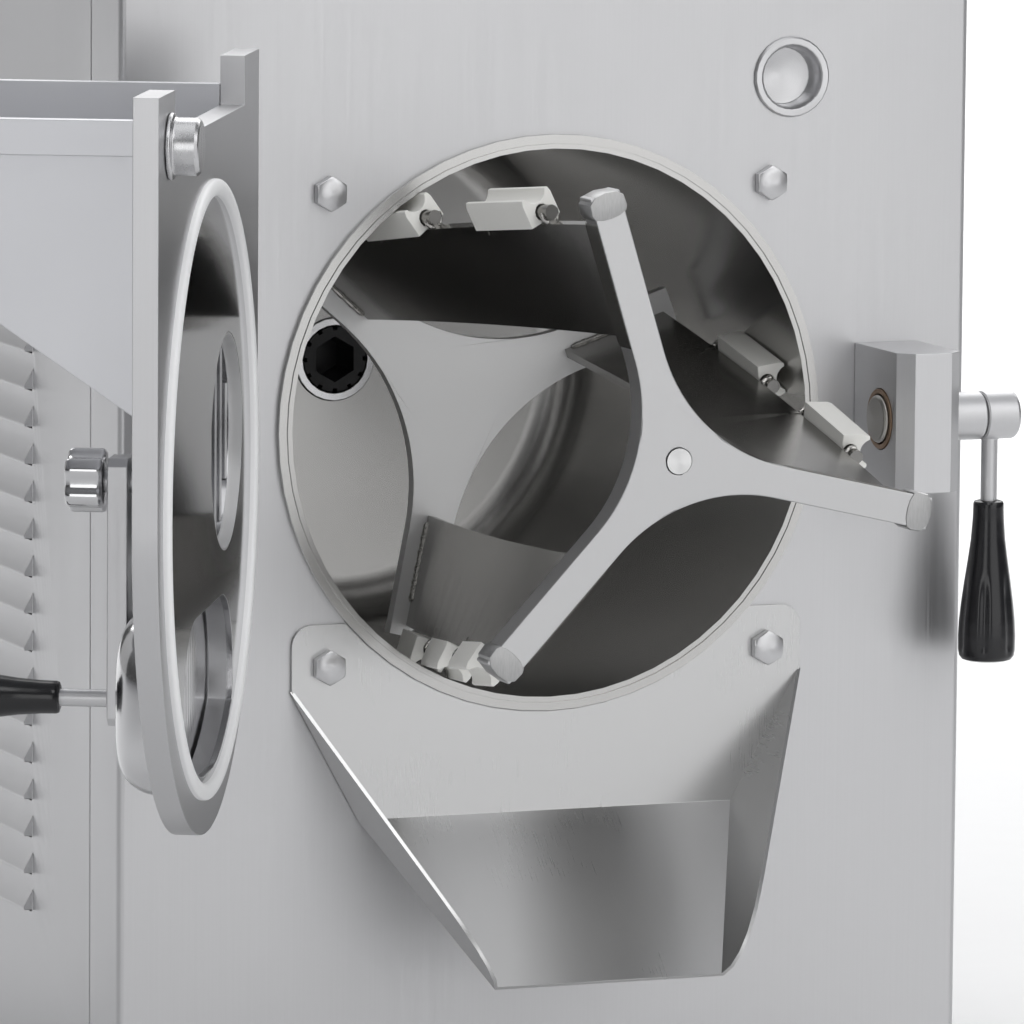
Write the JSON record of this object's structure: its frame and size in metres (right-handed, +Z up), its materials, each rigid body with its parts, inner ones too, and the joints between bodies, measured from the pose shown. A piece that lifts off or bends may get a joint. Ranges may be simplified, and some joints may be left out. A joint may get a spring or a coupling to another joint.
{
  "type": "batch freezer",
  "caption": "Bench-top horizontal batch freezer with hinged hopper door, ribbed outlet gate, cam latch, discharge chute and a draw-out three-arm dasher with scrapers.",
  "frame": {"origin": "middle of the underside of the part's box at rest, with the door open; the feet stand on z = 0", "axes": "+Z up, +X to the right of someone facing the front, +Y into the machine"},
  "size_m": [0.7812, 0.9692, 0.66],
  "materials": {
    "brushed_panel": "vertical brushed grain",
    "polished_steel": "polished",
    "satin_steel": "fine satin grain",
    "dark_steel": "bright rolled, dark reflections",
    "grip_black": "gloss moulded",
    "scraper_white": "matte moulded",
    "gasket_white": "smooth",
    "bronze": "turned",
    "foam": "closed cell",
    "black_rubber": "matte",
    "black_moulding": "matte moulded",
    "painted_black": "semi-gloss",
    "aluminium": "mill finish",
    "cast_grey": "painted casting"
  },
  "bodies": {
    "cabinet": {"front_panel": "brushed_panel", "left_side_panel": "brushed_panel", "right_side_panel": "brushed_panel", "rear_panel": "brushed_panel", "top_cover": "brushed_panel", "base_pan": "brushed_panel", "cable_gland": "black_moulding", "freezing_cylinder": "polished_steel", "insulation_jacket": "foam", "bearing_housing": "satin_steel", "drive_belt": "black_rubber", "drive_motor": "cast_grey", "compressor": "painted_black", "condenser": "aluminium", "chute": "satin_steel", "flush_cup": "polished_steel", "latch_block": "brushed_panel", "latch_bushing": "bronze", "bolt_upper_left": "polished_steel", "bolt_upper_right": "polished_steel", "bolt_lower_left": "polished_steel", "bolt_lower_right": "polished_steel", "foot_front_left": "black_rubber", "foot_front_right": "black_rubber", "foot_rear_left": "black_rubber", "foot_rear_right": "black_rubber", "hinge_bracket_upper": "brushed_panel", "hinge_bracket_lower": "brushed_panel"},
    "drive_train": {"drive_coupling": "black_moulding", "drive_shaft": "satin_steel", "driven_pulley": "aluminium"},
    "motor_rotor": {"motor_pulley": "aluminium"},
    "dasher": {"front_spider": "satin_steel", "rear_spider": "satin_steel", "hub_plug": "scraper_white", "blade_1": "dark_steel", "blade_2": "dark_steel", "blade_3": "dark_steel"},
    "door": {"door_plate": "polished_steel", "door_gasket": "gasket_white", "locating_stud": "satin_steel", "hopper": "satin_steel", "feed_throat": "satin_steel", "feed_grid": "polished_steel", "hinge_strap_upper": "brushed_panel", "hinge_strap_lower": "brushed_panel"},
    "gate": {"gate_plate": "polished_steel", "gate_arm": "brushed_panel", "gate_grip": "grip_black"},
    "clamp_knob": {"star_knob": "brushed_panel"},
    "latch_lever": {"lever_shaft": "brushed_panel", "lever_grip": "grip_black"},
    "latch_bolt": {"latch_pin": "satin_steel"},
    "scraper_rocker_1": {"scraper_1": "scraper_white"},
    "scraper_rocker_2": {"scraper_2": "scraper_white"},
    "scraper_rocker_3": {"scraper_3": "scraper_white"},
    "scraper_rocker_4": {"scraper_4": "scraper_white"},
    "scraper_rocker_5": {"scraper_5": "scraper_white"},
    "scraper_rocker_6": {"scraper_6": "scraper_white"},
    "scraper_rocker_7": {"scraper_7": "scraper_white"}
  },
  "joints": [
    {"name": "door_swing", "type": "hinge", "parent": "cabinet", "child": "door", "pos_m": [-0.08165, -0.13178, 0.4], "axis": [0, 0, 1], "range_deg": [0, 117.5]},
    {"name": "drive_spin", "type": "hinge", "parent": "cabinet", "child": "drive_train", "pos_m": [0.12455, 0.26262, 0.4], "axis": [0, 1, 0], "continuous": true},
    {"name": "dasher_slide", "type": "slide", "parent": "drive_train", "child": "dasher", "axis": [0, 1, 0], "range_m": [0, 0.19]},
    {"name": "motor_spin", "type": "hinge", "parent": "cabinet", "child": "motor_rotor", "pos_m": [0.24455, 0.34262, 0.118], "axis": [0, 1, 0], "continuous": true},
    {"name": "gate_swing", "type": "hinge", "parent": "door", "child": "gate", "pos_m": [-0.18903, -0.31511, 0.404], "axis": [-0.887, 0.4617, 0], "range_deg": [0, 45]},
    {"name": "knob_turn", "type": "hinge", "parent": "door", "child": "clamp_knob", "pos_m": [-0.21121, -0.30356, 0.404], "axis": [-0.887, 0.4617, 0], "range_deg": [0, 180]},
    {"name": "lever_turn", "type": "hinge", "parent": "cabinet", "child": "latch_lever", "pos_m": [0.36455, -0.13338, 0.4], "axis": [1, 0, 0], "range_deg": [-90, 0]},
    {"name": "pin_slide", "type": "slide", "parent": "cabinet", "child": "latch_bolt", "axis": [-1, 0, 0], "range_m": [0, 0.014]},
    {"name": "scraper_rock_1", "type": "hinge", "parent": "dasher", "child": "scraper_rocker_1", "pos_m": [0.06452, -0.19538, 0.52603], "axis": [-0.2018, 0.9747, -0.0961], "range_deg": [-1.8, 1.8]},
    {"name": "scraper_rock_2", "type": "hinge", "parent": "dasher", "child": "scraper_rocker_2", "pos_m": [0.0421, -0.08138, 0.51265], "axis": [-0.1804, 0.9747, -0.132], "range_deg": [-1.8, 1.8]},
    {"name": "scraper_rock_3", "type": "hinge", "parent": "dasher", "child": "scraper_rocker_3", "pos_m": [0.26409, -0.16538, 0.39584], "axis": [0.0067, 0.9747, 0.2234], "range_deg": [-1.8, 1.8]},
    {"name": "scraper_rock_4", "type": "hinge", "parent": "dasher", "child": "scraper_rocker_4", "pos_m": [0.26235, -0.04938, 0.42235], "axis": [-0.0358, 0.9747, 0.2206], "range_deg": [-1.8, 1.8]},
    {"name": "scraper_rock_5", "type": "hinge", "parent": "dasher", "child": "scraper_rocker_5", "pos_m": [0.04317, -0.20738, 0.28658], "axis": [0.1816, 0.9747, -0.1303], "range_deg": [-1.8, 1.8]},
    {"name": "scraper_rock_6", "type": "hinge", "parent": "dasher", "child": "scraper_rocker_6", "pos_m": [0.06118, -0.11538, 0.27561], "axis": [0.1992, 0.9747, -0.1015], "range_deg": [-1.8, 1.8]},
    {"name": "scraper_rock_7", "type": "hinge", "parent": "dasher", "child": "scraper_rocker_7", "pos_m": [0.08193, -0.01738, 0.26706], "axis": [0.2128, 0.9747, -0.0682], "range_deg": [-1.8, 1.8]}
  ],
  "couplings": [
    {"joint": "dasher_slide", "follows": "door_swing", "m_per_rad": 0.0926},
    {"joint": "motor_spin", "follows": "drive_spin", "ratio": 2.4},
    {"joint": "pin_slide", "follows": "lever_turn", "m_per_rad": -0.0089},
    {"joint": "scraper_rock_2", "follows": "scraper_rock_1", "ratio": 1},
    {"joint": "scraper_rock_3", "follows": "scraper_rock_1", "ratio": 1},
    {"joint": "scraper_rock_4", "follows": "scraper_rock_1", "ratio": 1},
    {"joint": "scraper_rock_5", "follows": "scraper_rock_1", "ratio": 1},
    {"joint": "scraper_rock_6", "follows": "scraper_rock_1", "ratio": 1},
    {"joint": "scraper_rock_7", "follows": "scraper_rock_1", "ratio": 1}
  ]
}
